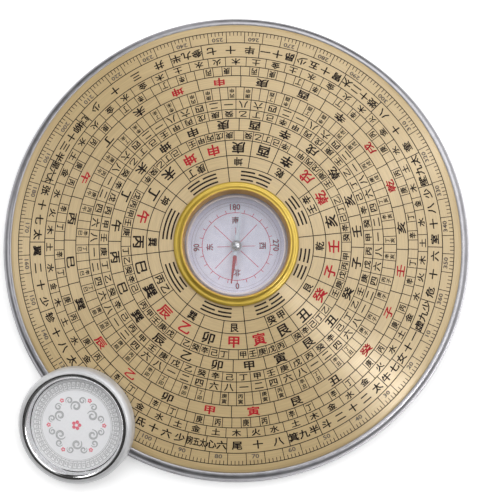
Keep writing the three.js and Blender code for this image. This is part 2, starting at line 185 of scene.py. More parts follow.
CAP_RADIUS = CAP_INNER + CAP_SHEET
CAP_DISTANCE = BODY_RADIUS + CAP_OVERHANG
CAP_FLOOR_RADIUS = CAP_RADIUS - CAP_SHOULDER - CAP_SLOPE
PLATE_EDGE = RIM_HEIGHT - LIP_PROUD
LEDGE_HEIGHT = PLATE_EDGE - PLATE_THICKNESS
DOME_EDGE = PLATE_EDGE + MARGIN_DROP
DOME_APEX = DOME_EDGE + DOME_DROP
FLANGE_TOP = RIM_FOOT_LIFT + RIM_FLANGE_THICKNESS
LOCK_RING_BASE = COVER_THICKNESS + CAPSULE_LIFT
CUP_BASE = LOCK_RING_BASE + LOCK_RING_THICKNESS
CARD_BASE = CUP_BASE + CUP_FLOOR
CARD_TOP = CARD_BASE + CARD_THICKNESS
CARD_RADIUS = CRYSTAL_RADIUS - CUP_WALL - GAP
GASKET_BASE = CARD_TOP + NEEDLE_SPACE
CRYSTAL_BASE = GASKET_BASE + GASKET_THICKNESS
CRYSTAL_TOP = CRYSTAL_BASE + CRYSTAL_THICKNESS
GROOVE_BASE = LOCK_RING_BASE + CIRCLIP_SHELF
GROOVE_TOP = GROOVE_BASE + CIRCLIP_THICKNESS + GAP
HUB_CAP_TOP = CRYSTAL_BASE - NEEDLE_HEADROOM
JEWEL_TOP = HUB_CAP_TOP - HUB_CAP_WALL - GAP
NEEDLE_BASE = JEWEL_TOP - JEWEL_HEIGHT + JEWEL_FLANGE_THICKNESS
NEEDLE_TOP = NEEDLE_BASE + NEEDLE_THICKNESS
HUB_BASE = COVER_THICKNESS + RIB_LIFT


def dome_height(radius):
    return DOME_APEX - DOME_DROP * (radius / DIAL_RADIUS) ** 2


BEZEL_BASE = dome_height(PLATE_HOLE) + GAP
CUSHION_TOP = BEZEL_BASE + CUSHION_HEIGHT
CREST_HEIGHT = CUSHION_TOP + COLLAR_HEIGHT
SEAT_FLANGE_TOP = dome_height(SEAT_FLANGE) - PLATE_THICKNESS - GAP
HUB_TOP = SEAT_FLANGE_TOP - SEAT_FLANGE_THICKNESS


# Sections and meshes


def curve_points(points, steps):
    """Points along a quadratic or cubic Bezier curve, both ends included."""
    share = np.linspace(0, 1, steps + 1)[:, None]
    points = [np.array(p, float) for p in points]
    while len(points) > 1:
        points = [a + (b - a) * share for a, b in zip(points, points[1:])]
    return [tuple(p) for p in points[0]]


def quarter(centre, radii, start, end, steps=12):
    """Points of an ellipse round a centre, from one angle in quarter turns to another."""
    turns = np.linspace(start, end, steps + 1) * math.pi / 2
    return [(centre[0] + radii[0] * math.cos(t), centre[1] + radii[1] * math.sin(t)) for t in turns]


def unit(angle):
    return np.array([math.cos(angle), math.sin(angle)])


def eased(section, size):
    """A closed section with its sharp corners rounded by up to a size, but for those on the axis."""
    out = []
    count = len(section)
    for i, corner in enumerate(section):
        before, after = np.array(section[i - 1]), np.array(section[(i + 1) % count])
        corner = np.array(corner, float)
        into, out_of = before - corner, after - corner
        lengths = np.linalg.norm(into), np.linalg.norm(out_of)
        cosine = into @ out_of / (lengths[0] * lengths[1])
        if corner[0] == 0 or cosine < STRAIGHT_COSINE:
            out.append(tuple(corner))
            continue
        reach = min(size, min(lengths) * EASE_SHARE)
        ends = corner + into / lengths[0] * reach, corner + out_of / lengths[1] * reach
        out.extend(curve_points([ends[0], corner, ends[1]], 3))
    return out


def faces_between(rows):
    """Faces that join closed rows of corners, each row to the next and the last to the first."""
    faces = []
    for row, above in zip(rows, [*rows[1:], rows[0]]):
        for j in range(len(row)):
            k = (j + 1) % len(row)
            face = list(dict.fromkeys((row[j], row[k], above[k], above[j])))
            if len(face) > 2:
                faces.append(face)
    return faces


def lathe(section, sides):
    """Corners and faces of a closed section, given against the clock, turned round Z."""
    angles = np.arange(sides) * 2 * math.pi / sides
    corners, rows = [], []
    for radius, height in section:
        first = len(corners)
        if radius == 0:
            corners.append((0, 0, height))
            rows.append([first] * sides)
        else:
            corners.extend((radius * math.cos(a), radius * math.sin(a), height) for a in angles)
            rows.append(range(first, first + sides))
    return corners, faces_between(rows)


def prism(outline, base, top):
    """A closed prism over an outline given against the clock."""
    count = len(outline)
    corners = [(x, y, base) for x, y in outline] + [(x, y, top) for x, y in outline]
    faces = [list(range(count))[::-1], list(range(count, 2 * count))]
    faces += [[i, (i + 1) % count, (i + 1) % count + count, i + count] for i in range(count)]
    return corners, faces


def joined(*parts):
    """Several meshes as one, each a pair of corners and faces."""
    corners, faces = [], []
    for part_corners, part_faces in parts:
        first = len(corners)
        corners.extend(map(tuple, part_corners))
        faces.extend([first + i for i in face] for face in part_faces)
    return corners, faces


def moved(part, matrix):
    corners = [tuple(matrix @ Vector(c)) for c in part[0]]
    return corners, part[1]


def turned(points, angle):
    """Flat points turned round the middle."""
    spin = np.array([[math.cos(angle), -math.sin(angle)], [math.sin(angle), math.cos(angle)]])
    return points @ spin.T


def add_object(name, data):
    made = bpy.data.objects.new(name, data)
    bpy.context.scene.collection.objects.link(made)
    return made


def add_piece(name, part, body, material, replaces=()):
    """A shown piece that rides on a body; its corners are in millimetres."""
    mesh = bpy.data.meshes.new(name)
    mesh.from_pydata((np.array(part[0]) * MM).tolist(), [], part[1])
    mesh.shade_smooth()
    mesh.set_sharp_from_angle(angle=SHARP_ANGLE)
    mesh.materials.append(material)
    piece = add_object(name, mesh)
    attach(piece, body)
    if replaces:
        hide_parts(*replaces)
    return piece


def add_second_material(piece, part, material, wanted):
    """A second material for the faces whose mean radius and height, before any move, are wanted."""
    piece.data.materials.append(material)
    corners = np.array(part[0])
    radii = np.hypot(corners[:, 0], corners[:, 1])
    for face, around in zip(piece.data.polygons, part[1]):
        around = list(around)
        face.material_index = int(wanted(radii[around].mean(), corners[around, 2].mean()))


# Materials

# Values of a noise between which a colour or a roughness goes from low to high
COLOUR_STOPS = (0.35, 0.65)
ROUGHNESS_STOPS = (0.3, 0.7)


def set_inputs(owner, made, *values, **named):
    """Give a node's inputs numbers, vectors or other nodes' outputs, in order or by name."""
    sockets = [*zip(made.inputs, values)]
    sockets += [(made.inputs[key.replace("_", " ")], value) for key, value in named.items()]
    for socket, value in sockets:
        if isinstance(value, bpy.types.NodeSocket):
            owner.node_tree.links.new(value, socket)
        else:
            socket.default_value = value


def set_shader(material, **named):
    set_inputs(material, material.node_tree.nodes["Principled BSDF"], **named)


def node(owner, kind, *values, **named):
    made = owner.node_tree.nodes.new("ShaderNode" + kind)
    set_inputs(owner, made, *values, **named)
    return made


def maths(owner, kind, operation, *values):
    """The outputs of a node that works out something from numbers, vectors or other outputs."""
    made = node(owner, kind, *values)
    made.operation = operation
    return made.outputs


def new_material(name, base, metallic=0.0, roughness=0.4, **sockets):
    material = bpy.data.materials.new(name)
    material.use_nodes = True
    set_shader(material, Base_Color=(*base, 1), Metallic=metallic, Roughness=roughness, **sockets)
    return material


def coordinates(material, place):
    """The object's coordinates as they were before it was put in a place (in metres)."""
    where = node(material, "TexCoord").outputs["Object"]
    if place is None:
        return where
    mapping = node(
        material, "Mapping", Vector=where, Location=place.translation, Rotation=place.to_euler()
    )
    mapping.vector_type = "TEXTURE"
    return mapping.outputs["Vector"]


def grain(material, scale, detail=4.0, stretch=(1, 1, 1), place=None):
    """Noise over the object's own coordinates, in noise cells a metre."""
    where = node(material, "Mapping", Vector=coordinates(material, place), Scale=stretch).outputs["Vector"]
    return node(material, "TexNoise", Vector=where, Scale=scale, Detail=detail).outputs["Fac"]


def turned_grain(material, rings, spokes, detail=3.0, place=None):
    """Noise drawn out along circles round Z, as turning or circular brushing leaves it."""
    flat = maths(material, "VectorMath", "MULTIPLY", coordinates(material, place), (1, 1, 0))["Vector"]
    radius = maths(material, "VectorMath", "LENGTH", flat)["Value"]
    height = maths(material, "Math", "MULTIPLY", radius, rings)["Value"]
    lifted = node(material, "CombineXYZ", Z=height).outputs["Vector"]
    around = maths(material, "VectorMath", "NORMALIZE", flat)["Vector"]
    around = maths(material, "VectorMath", "MULTIPLY", around, (spokes, spokes, spokes))["Vector"]
    total = maths(material, "VectorMath", "ADD", around, lifted)["Vector"]
    return node(material, "TexNoise", Vector=total, Scale=1.0, Detail=detail).outputs["Fac"]


def colours_from(material, factor, low, high):
    ramp = node(material, "ValToRGB", Fac=factor)
    for stop, position, colour in zip(ramp.color_ramp.elements, COLOUR_STOPS, (low, high)):
        stop.position = position
        stop.color = (*colour, 1)
    set_shader(material, Base_Color=ramp.outputs["Color"])


def roughness_from(material, factor, low, high):
    start, end = ROUGHNESS_STOPS
    spread = node(material, "MapRange", Value=factor, From_Min=start, From_Max=end, To_Min=low, To_Max=high)
    set_shader(material, Roughness=spread.outputs["Result"])


def finish(name, low, high, metallic, rough, pattern, *numbers, place=None, bump=None, **sockets):
    """A material whose colour, and roughness where it has a range, follow a pattern of noise.

    Its bump, where it has one, is a height in metres and a strength.
    """
    between = [(a + b) / 2 for a, b in zip(low, high)]
    made = new_material(name, between, metallic, np.mean(rough), **sockets)
    factor = pattern(made, *numbers, place=place)
    colours_from(made, factor, low, high)
    if np.size(rough) == 2:
        roughness_from(made, factor, *rough)
    if bump:
        bumps = node(made, "Bump", Height=factor, Distance=bump[0], Strength=bump[1])
        set_shader(made, Normal=bumps.outputs["Normal"])
    return made


def dial_gold():
    """Anodised metal with grooves that run in circles round the middle."""
    made = finish(
        "dial_gold", (0.495, 0.345, 0.143), (0.585, 0.42, 0.178), 0.15, (0.3, 0.42),
        turned_grain, 2200, 5, IOR=1.8, Specular_IOR_Level=0.9,
    )
    tangent = node(made, "Tangent")
    tangent.direction_type = "RADIAL"
    tangent.axis = "Z"
    set_shader(made, Anisotropic=0.9, Anisotropic_Rotation=0.25, Tangent=tangent.outputs["Tangent"])
    return made


def chrome():
    """Bright plating of the cap's slope."""
    return finish("chrome", (0.84, 0.84, 0.85), (0.88, 0.88, 0.89), 1.0, (0.06, 0.12), grain, 180)


def satin_chrome(place):
    """The cap's outer band, brushed round before it was plated."""
    low, high = (0.62, 0.62, 0.63), (0.71, 0.71, 0.72)
    return finish("satin_chrome", low, high, 0.4, (0.4, 0.5), turned_grain, 2600, 4, place=place)


def rim_nickel():
    """Darker polished plating of the rim."""
    return finish("rim_nickel", (0.34, 0.335, 0.355), (0.4, 0.395, 0.415), 1.0, (0.3, 0.38), grain, 240)


def flange_satin():
    low, high = (0.58, 0.57, 0.6), (0.66, 0.65, 0.68)
    return finish("flange_satin", low, high, 1.0, (0.34, 0.5), turned_grain, 600, 4)


def bezel_gold():
    return finish(
        "bezel_gold", (0.55, 0.375, 0.038), (0.62, 0.43, 0.058), 0.7, (0.32, 0.42),
        turned_grain, 900, 4, Coat_Weight=0.8, Coat_Roughness=0.18,
    )


def well_gold():
    """The well's wall, which wasn't polished; its colour, darker and browner than the bezel's, is painted
    shade in the recess.
    """
    return finish("well_gold", (0.5, 0.3, 0.08), (0.62, 0.39, 0.12), 0.7, (0.44, 0.56), turned_grain, 900, 4)


def brass():
    return finish("brass", (0.5, 0.34, 0.12), (0.66, 0.47, 0.19), 1.0, (0.28, 0.42), turned_grain, 1500, 4)


def steel():
    return finish("steel", (0.44, 0.45, 0.47), (0.56, 0.57, 0.59), 1.0, (0.22, 0.38), grain, 900)


def cover_black():
    low, high = (0.018, 0.018, 0.02), (0.05, 0.05, 0.054)
    return finish("cover_black", low, high, 0.0, (0.4, 0.62), grain, 1400, 5, bump=(0.0002, 0.8))


def white_plastic():
    return finish("white_plastic", (0.77, 0.74, 0.81), (0.83, 0.8, 0.87), 0.0, (0.25, 0.35), grain, 120)


def card_white():
    return finish("card", (0.65, 0.65, 0.79), (0.72, 0.72, 0.85), 0.0, (0.4, 0.5), grain, 300, 6)


def gasket_rubber():
    return finish("gasket_rubber", (0.46, 0.43, 0.48), (0.56, 0.53, 0.58), 0.0, 0.6, grain, 400)


def crystal_glass():
    made = new_material("crystal_glass", (0.9, 0.93, 0.95), Alpha=0.08)
    roughness_from(made, grain(made, 60), 0.02, 0.06)
    return made


def glass_edge():
    """The crystal's bevel: stronger gloss than its face, and a paler, far less clear glass that is a painted
    highlight ring.
    """
    made = new_material("glass_edge", (0.95, 0.92, 0.96), Alpha=0.6, Specular_IOR_Level=0.9, IOR=1.9)
    roughness_from(made, grain(made, 90), 0.06, 0.14)
    return made


def ink(name, base):
    low, high = [c * 0.85 for c in base], [min(1, c * 1.15 + 0.004) for c in base]
    return finish(name, low, high, 0.0, 0.45, grain, 2500, 3, Specular_IOR_Level=0.12)


def paint_red():
    low, high = (0.27, 0.002, 0.017), (0.34, 0.005, 0.027)
    return finish("needle_red", low, high, 0.0, 0.4, grain, 700, Specular_IOR_Level=0.2)


def needle_steel(place):
    low, high = (0.42, 0.45, 0.52), (0.52, 0.56, 0.64)
    return finish("needle_steel", low, high, 0.5, 0.45, grain, 500, 4, (0.2, 1, 1), place=place)


def cap_disc_silver(place):
    low, high = (0.92, 0.92, 0.94), (0.96, 0.96, 0.98)
    return finish("cap_disc", low, high, 0.05, (0.3, 0.42), turned_grain, 1800, 4, place=place)


def etched_band(place):
    low, high = (0.82, 0.82, 0.83), (0.92, 0.92, 0.93)
    return finish("etched_band", low, high, 0.1, 0.5, turned_grain, 1200, 6, 5.0, place=place)


def felt():
    low, high = (0.03, 0.01, 0.012), (0.09, 0.03, 0.036)
    return finish("felt", low, high, 0.0, 0.95, grain, 2600, 8, bump=(0.0003, 0.9))


# Body and dial


def plate_face():
    """The dial plate's upper face, from its hole to its edge."""
    dome = [(r, dome_height(r)) for r in np.linspace(PLATE_HOLE, DIAL_RADIUS, 41)]
    bend = [(DIAL_RADIUS + MARGIN_WIDTH * a, DOME_EDGE - MARGIN_DROP * b) for a, b in MARGIN_SHARES]
    return dome + curve_points(bend, 12)[1:]


FACE_RADII, FACE_HEIGHTS = np.array(plate_face()).T


def dial_plate_part():
    radii = np.linspace(DIAL_RADIUS - PLATE_THICKNESS, PLATE_HOLE, 21)
    under = [(r, dome_height(r) - PLATE_THICKNESS) for r in radii]
    seat = [(PLATE_RADIUS, LEDGE_HEIGHT), (PLATE_RADIUS - PLATE_SEAT_WIDTH, LEDGE_HEIGHT)]
    return lathe((plate_face() + seat + under)[::-1], LARGE)


def deck_height(radius, share=0):
    """Height in the deck under the plate, with a share of 0 at its upper face and 1 at its lower one."""
    return dome_height(radius) - PLATE_THICKNESS - GAP - DECK_THICKNESS * share


def rib_part(angle):
    """A rib from the hub to the rim whose upper edge runs inside the deck."""
    inner, outer = HUB_RADIUS - HUB_WALL / 2, LEDGE_RADIUS + COVER_LEDGE / 2
    outline = [(inner, HUB_BASE), (outer, HUB_BASE)]
    outline += [(r, deck_height(r, 0.5)) for r in np.linspace(outer, inner, 9)]
    upright = Matrix.Rotation(angle, 4, "Z") @ Matrix.Rotation(math.pi / 2, 4, "X")
    return moved(prism(outline, -RIB_THICKNESS / 2, RIB_THICKNESS / 2), upright)


def body_part():
    """The cast body: rim, lip, deck, hub, ribs and screw bosses."""
    deck_edge = DIAL_RADIUS - PLATE_THICKNESS - 2 * GAP
    ledge_inner = PLATE_RADIUS - PLATE_SEAT_WIDTH - 2 * GAP
    deck = [(r, deck_height(r)) for r in np.linspace(HUB_RECESS, deck_edge, 20)]
    seam, step = PLATE_RADIUS + LIP_SEAM, LEDGE_HEIGHT + GAP
    lip = [
        (ledge_inner, LEDGE_HEIGHT), (LIP_INNER, LEDGE_HEIGHT), (LIP_INNER, step), (seam, step),
        (seam, PLATE_EDGE + LIP_PROUD / 2), (LIP_INNER, RIM_HEIGHT - LIP_PROUD / 8),
    ]
    shoulder = RIM_HEIGHT - RIM_CROWN
    upper = quarter((LIP_TOP, shoulder), (RIM_ROUND, RIM_CROWN), 1, 0, 20)
    lower = quarter((GROOVE_RADIUS, shoulder), (RIM_TUCK, shoulder - FLANGE_TOP), 0, -1, 10)
    edge = RIM_FLANGE_EDGE
    flange = quarter((FLANGE_RADIUS - edge, FLANGE_TOP - edge), (edge, edge), 1, 0, 6)
    foot = [(FLANGE_RADIUS, RIM_FOOT_LIFT), (FOOT_INNER, RIM_FOOT_LIFT)]
    foot += [(FOOT_INNER, COVER_THICKNESS), (LEDGE_RADIUS, COVER_THICKNESS)]
    under = [(r, deck_height(r, 1)) for r in np.linspace(LEDGE_RADIUS, HUB_RADIUS, 16)]
    hub = [(HUB_RADIUS, HUB_BASE), (HUB_BORE, HUB_BASE), (HUB_BORE, HUB_TOP), (HUB_RECESS, HUB_TOP)]
    boss_top = deck_height(BOSS_CIRCLE, 0.5)
    column = [(0, COVER_THICKNESS), (BOSS_RADIUS, COVER_THICKNESS), (BOSS_RADIUS, boss_top), (0, boss_top)]
    parts = [lathe((deck + lip + upper + lower[1:] + flange + foot + under + hub)[::-1], LARGE)]
    for i in range(RIB_COUNT):
        angle = i * 2 * math.pi / RIB_COUNT
        parts.append(rib_part(angle))
        centre = unit(angle + math.pi / RIB_COUNT) * BOSS_CIRCLE
        parts.append(moved(lathe(column, SMALL), Matrix.Translation((*centre, 0))))
    return joined(*parts)


# Printed signs

STEMS = "甲乙丙丁戊己庚辛壬癸"
BRANCHES = "子丑寅卯辰巳午未申酉戌亥"
MOUNTAINS = "子癸丑艮寅甲卯乙辰巽巳丙午丁未坤申庚酉辛戌乾亥壬"
RED_MOUNTAINS = "乾甲坤乙子癸申辰午壬寅戌"
NUMERALS = "一二三四五六七八九"
# The mansions and the degrees that each takes, a narrow one joined to its neighbour
MANSIONS = "虚女牛斗箕尾心房氐亢角轸翼张星柳鬼井参毕昴胃娄奎壁室危"
MANSION_DEGREES = (
    9.25, 11, 7, 22.75, 9.5, 18, 6, 5.75, 16.25, 9.75, 12.75, 18.75, 20.25, 17.75, 6.75, 13.5, 2.5,
    30.25, 9.5, 17, 11, 15.25, 12.75, 18, 9.75, 18.25, 16,
)
# The signs of a quarter, half and three quarters of a degree
QUARTERS = {0.25: "少", 0.5: "半", 0.75: "太"}
# Trigrams clockwise from the dial's north, the line nearest the middle first, 1 unbroken
TRIGRAMS = ("000", "001", "101", "011", "111", "110", "010", "100")
# The signs of the 24-cell ring inside the large mountains, where it isn't blank
INNER_SIGNS = {
    "癸": "艮", "艮": "甲癸", "甲": "艮", "乙": "巽", "巽": "乙丙", "丙": "巽",
    "丁": "坤", "坤": "丁庚", "庚": "坤", "辛": "乾", "乾": "辛壬", "壬": "乾",
}
# Half a ring of elements, which comes twice, and the widths of its cells in no unit
ELEMENTS = "木火水金土水火金水金木土水火木土金土水金火木火金水土木金水土"
ELEMENT_WIDTHS = (
    5.3, 5.3, 6.7, 7.0, 4.3, 6.2, 6.9, 6.2, 5.8, 7.2, 4.7, 7.4, 5.9, 5.3, 6.4, 6.1, 6.1, 5.1, 7.0,
    6.1, 5.9, 5.9, 3.3, 7.1, 6.5, 6.4, 6.2, 3.9, 7.6, 5.2,
)

# Where the dial's rings part, and each ring's outer and inner radius
EDGES = (93.9, 88.87, 82.38, 78.18, 73.91, 68.82, 63.23, 58.75, 54.77, 49.32, 45.12, 38.39, 33.11)
RING_NAMES = (
    "degrees", "mansions", "elements", "outer_fine", "heaven", "inner_fine",
    "numerals", "stems", "man", "dragons", "earth", "inner",
)
RINGS = dict(zip(RING_NAMES, zip(EDGES, EDGES[1:])))
BAR_RADII = (27.9, 29.75, 31.4)
BAR_HALF_TURN = 12.6
BAR_WIDTH = 0.72
DEGREES_ZERO = -14.8  # where the degree ring's 0 lies, from +X against the clock
NORTH_ZERO = -16.4  # where the mountains' north lies
MANSIONS_ZERO = -16.3
MANSION_DEGREE = 360 / 365.25
MANSION_SIGNS_RADIUS = 85.6
MANSION_FILL_SHARE = 1.08
ELEMENTS_ZERO = 178
NARROW_ELEMENT = 4
MOUNTAIN_TURN = 360 / len(MOUNTAINS)
HEAVEN_SHIFT = -7.7
FINE_CELLS = 120
FINE_TURN = 360 / FINE_CELLS
FINE_SIGN_LIFTS = (1.6, 3.9)
INNER_PAIR_TURN = 7.4
BAR_GAP_HALF_TURN = 1.35
SMALL_CELLS = 60
DRAGON_CELLS = 72
DEGREE_TICK = 1.8
DEGREE_NUMBER_LIFT = 1.55
# Width and height of the signs in each ring
SIZES = dict(
    degrees=(2.5, 1.85), mansions=(4.6, 3.8), elements=(3.9, 3.1), narrow_elements=(2.9, 3.1),
    outer_fine=(2.8, 3.2), inner_fine=(2.3, 2.0), heaven=(5.6, 3.9), numerals=(4.0, 3.5),
    stems=(3.8, 3.0), man=(5.5, 4.4), dragons=(3.4, 3.1), earth=(5.9, 5.3), inner=(3.9, 4.0),
)
LINE = 0.36
FINE_LINE = 0.3
ARC_STEP = 1.5
OUTLINE_SPREAD = 0.01
STROKE_SPREAD = 0.021
SIGN_MIDDLE_SHARE = 0.38

# The card's print: its red circle, ticks, numbers, signs and rays; and faint grey rings (radius and width),
# painted refraction lines of the crystal's edge
CARD_TURN = 1.7
CARD_CIRCLE = 14.75
CARD_REFRACTION_RINGS = ((18.1, 0.16), (19.4, 0.22))
CARD_LINE = 0.28
CARD_TICKS = 24
CARD_TICK = 1.5
CARD_NUMBER_LIFT = 2.5
CARD_NUMBER_SIZE = (2.6, 2.7)
CARD_SIGN_RADIUS = 11.5
CARD_SIGN_SIZE = 3.2
CARD_RAY_START = 2.6
# End and width of the card's rays, straight and slanting
CARD_RAYS = ((8.3, 0.24), (13.2, CARD_LINE))

# The cap's print: a key-pattern band, curls in clouds (centre, size and hand) and blossoms
BAND_OUTER = 19.5
BAND_INNER = 15.2
BAND_EDGE_LINES = ((19.6, 0.16), (15.2, 0.14))
KEY_UNITS = 56
KEY_LINE = 0.27
KEY_FOOT_LINE = 0.24
KEY_OVERRUN = 0.4
# A unit's path in shares of its width and of the band's depth
KEY_PATH_SHARES = ((0, 0.14), (0, 0.86), (0.78, 0.86), (0.78, 0.34), (0.3, 0.34), (0.3, 0.6), (0.52, 0.6))
CLOUD_CURLS = (((8.2, 0.0), 2.3, 1), ((10.6, 2.9), 1.6, 1), ((10.6, -2.9), 1.6, -1))
CURL_TURNS = 1.35
CURL_EYE_SHARE = 0.22
CURL_END_SHARE = 0.14
CURL_SWELL_SHARE = 0.3
BLOSSOM_CIRCLE = 12.2
BLOSSOM_SIZE = 1.0
LARGE_BLOSSOM_SIZE = 2.2
PETAL_PLACE_SHARE = 0.62
PETAL_SIZE_SHARE = 0.36


class Signs:
    """Flat outlines of signs, each about its own middle and one unit tall."""

    def __init__(self, texts):
        made = []
        for text in sorted(set(texts)):
            curve = bpy.data.curves.new("sign", "FONT")
            curve.body = text
            curve.resolution_u = 2
            curve.offset = OUTLINE_SPREAD
            curve.align_x = "CENTER"
            made.append((text, curve, add_object("sign", curve)))
        view = bpy.context.evaluated_depsgraph_get()
        self.meshes = {}
        for text, curve, holder in made:
            mesh = holder.evaluated_get(view).to_mesh()
            mesh.calc_loop_triangles()
            points = np.array([corner.co[:2] for corner in mesh.vertices])
            corners = np.array([triangle.vertices[:] for triangle in mesh.loop_triangles])
            self.meshes[text] = self.bolder(points, corners)
            holder.evaluated_get(view).to_mesh_clear()
        for _, curve, holder in made:
            bpy.data.objects.remove(holder)
            bpy.data.curves.remove(curve)

    @staticmethod
    def bolder(points, corners):
        """The outline laid down three times, a little apart, so that its strokes are wider."""
        turns = math.pi / 2 + np.arange(3) * 2 * math.pi / 3
        shifts = STROKE_SPREAD * np.column_stack([np.cos(turns), np.sin(turns)])
        faces = [corners + i * len(points) for i in range(len(shifts))]
        return np.vstack([points + shift for shift in shifts]), np.vstack(faces)

    def get(self, text):
        points, corners = self.meshes[text]
        if text.isascii():
            low, high = points.min(0), points.max(0)
            return (points - (low + high) / 2) / (high[1] - low[1]), corners
        return points - (0, SIGN_MIDDLE_SHARE), corners


class Print:
    """Ink of one colour on one face: signs and lines gathered into one piece."""

    def __init__(self, name, material, height=None):
        """Without a height the ink lies on the dial plate."""
        self.name, self.material, self.height = name, material, height
        self.corners, self.faces = [], []
        self.count = 0

    def add(self, flat, faces):
        flat = np.asarray(flat, float)
        height = self.height
        if height is None:
            height = np.interp(np.hypot(*flat.T), FACE_RADII, FACE_HEIGHTS)
        self.corners.append(np.column_stack([flat, np.broadcast_to(height + INK_LIFT, len(flat))]))
        self.faces.extend((np.asarray(faces) + self.count).tolist())
        self.count += len(flat)

    def sign(self, text, radius, turn, width, height, outward=False):
        """A sign at a radius and an angle in degrees, its top to the middle or away from it."""
        points, faces = SIGNS.get(text)
        out = unit(math.radians(turn))
        along = np.array([-out[1], out[0]])
        side = -1 if outward else 1
        across, up = points[:, :1] * width * side, points[:, 1:] * height * side
        self.add(out * (radius - up) + along * across, faces)

    def cell_sign(self, text, ring, turn, size=None):
        """A sign in the middle of a ring of the dial."""
        self.sign(text, sum(RINGS[ring]) / 2, turn, *SIZES[size or ring])

    def cell_line(self, ring, turn, width):
        outer, inner = RINGS[ring]
        self.ray(inner, outer, turn, width)

    def arc(self, radius, width, start=0.0, end=360.0):
        """A band round the middle between two angles."""
        count = max(2, int(abs(end - start) / ARC_STEP) + 1)
        turns = np.radians(np.linspace(start, end, count))
        rays = np.column_stack([np.cos(turns), np.sin(turns)])
        flat = np.vstack([rays * (radius - width / 2), rays * (radius + width / 2)])
        faces = [[i, i + count, i + 1 + count, i + 1] for i in range(count - 1)]
        self.add(flat, faces)

    def ray(self, inner, outer, turn, width):
        """A line along a radius."""
        along = np.linspace(inner, outer, 4)
        flat = [(x, side) for side in (-width / 2, width / 2) for x in along]
        self.add(turned(np.array(flat), math.radians(turn)), [[i, i + 1, i + 5, i + 4] for i in range(3)])

    def lay_on(self, body, lean=None):
        part = np.vstack(self.corners), self.faces
        add_piece(self.name, moved(part, lean) if lean else part, body, self.material)


def bearings(count, first=NORTH_ZERO):
    """Angles of equal cells, clockwise from the first one."""
    return [first - i * 360 / count for i in range(count)]


def print_mountains(black, red, ring, zero):
    for name, turn in zip(MOUNTAINS, bearings(len(MOUNTAINS), zero)):
        (red if name in RED_MOUNTAINS else black).cell_sign(name, ring, turn)
        black.cell_line(ring, turn - MOUNTAIN_TURN / 2, LINE)


def print_degrees(black, grey):
    """A line at each degree, a taller one where the cells part, a number at each ten."""
    outer, inner = RINGS["degrees"]
    for degree in range(360):
        turn = DEGREES_ZERO - degree
        black.ray(outer - DEGREE_TICK, outer, turn - 0.5, FINE_LINE)
        if degree % 5 == 0:
            black.cell_line("degrees", turn - 2.5, FINE_LINE)
        if degree % 10 == 0:
            grey.sign(str(degree or 360), inner + DEGREE_NUMBER_LIFT, turn, *SIZES["degrees"])


def print_mansions(black):
    """Mansions, with the number of degrees that each takes."""
    turn = MANSIONS_ZERO
    width, height = SIZES["mansions"]
    for name, degrees in zip(MANSIONS, MANSION_DEGREES):
        tens, units = divmod(int(degrees), 10)
        text = name
        if tens > 1:
            text += NUMERALS[tens - 1]
        if tens:
            text += "十"
        if units:
            text += NUMERALS[units - 1]
        text += QUARTERS.get(degrees % 1, "")
        black.cell_line("mansions", turn, LINE)
        span = degrees * MANSION_DEGREE
        fitting = math.radians(span / len(text)) * MANSION_SIGNS_RADIUS * MANSION_FILL_SHARE
        if degrees > 2:
            for i, letter in enumerate(text):
                place = turn - span * (len(text) - i - 0.5) / len(text)
                black.sign(letter, MANSION_SIGNS_RADIUS, place, min(width, fitting), height)
        turn -= span


def print_elements(black):
    """Elements in cells of uneven width."""
    turn = ELEMENTS_ZERO
    for name, width in zip(ELEMENTS * 2, ELEMENT_WIDTHS * 2):
        half = width * 90 / sum(ELEMENT_WIDTHS)
        black.cell_line("elements", turn, FINE_LINE)
        size = "narrow_elements" if width < NARROW_ELEMENT else "elements"
        black.cell_sign(name, "elements", turn - half, size)
        turn -= 2 * half


def print_fine_cells(black):
    """Stems in fine cells outside the heaven mountains, and stems and branches inside them."""
    stem_radius, branch_radius = (RINGS["inner_fine"][1] + lift for lift in FINE_SIGN_LIFTS)
    size = SIZES["inner_fine"]
    for i, start in enumerate(bearings(len(MOUNTAINS))):
        pair = (i // 2) % 2
        for slot, stem in ((1, "丙丁"[pair]), (3, "庚辛"[pair])):
            turn = start - FINE_TURN * (slot + 0.5)
            black.cell_sign(stem, "outer_fine", turn)
            turn += MOUNTAIN_TURN / 2
            black.sign(stem, stem_radius, turn, *size)
            black.sign(BRANCHES[i // 2], branch_radius, turn, *size)
    for ring, shift in (("outer_fine", 0), ("inner_fine", MOUNTAIN_TURN / 2)):
        for turn in bearings(FINE_CELLS, NORTH_ZERO + shift):
            black.cell_line(ring, turn, FINE_LINE)


def print_sixties(black):
    """Sixty numerals and, inside them, sixty stems."""
    turns = bearings(SMALL_CELLS, NORTH_ZERO + 1.5 * MOUNTAIN_TURN)
    half = 180 / SMALL_CELLS
    for i, turn in enumerate(turns):
        black.cell_sign(NUMERALS[(7 * i + i // 5) % 9], "numerals", turn - half)
        black.cell_sign(STEMS[(i // 5 + 2 * (i % 5)) % 10], "stems", turn - half)
    for ring in ("numerals", "stems"):
        for turn in turns:
            black.cell_line(ring, turn, FINE_LINE)


def print_dragons(black):
    """Seventy-two cells, every sixth one blank."""
    cell = 360 / DRAGON_CELLS
    for i, turn in enumerate(bearings(DRAGON_CELLS, NORTH_ZERO + 2 * cell)):
        branch, place = divmod(i, 6)
        if place < 5:
            black.cell_sign(STEMS[(branch + 2 * place) % 10], "dragons", turn)
        black.cell_line("dragons", turn + cell / 2, FINE_LINE)


def print_inner_ring(black):
    """Single and paired signs, and blank cells between them."""
    for name, turn in zip(MOUNTAINS, bearings(len(MOUNTAINS))):
        black.cell_line("inner", turn - MOUNTAIN_TURN / 2, LINE)
        text = INNER_SIGNS.get(name, "")
        for j, letter in enumerate(text):
            black.cell_sign(letter, "inner", turn + INNER_PAIR_TURN * ((len(text) - 1) / 2 - j))


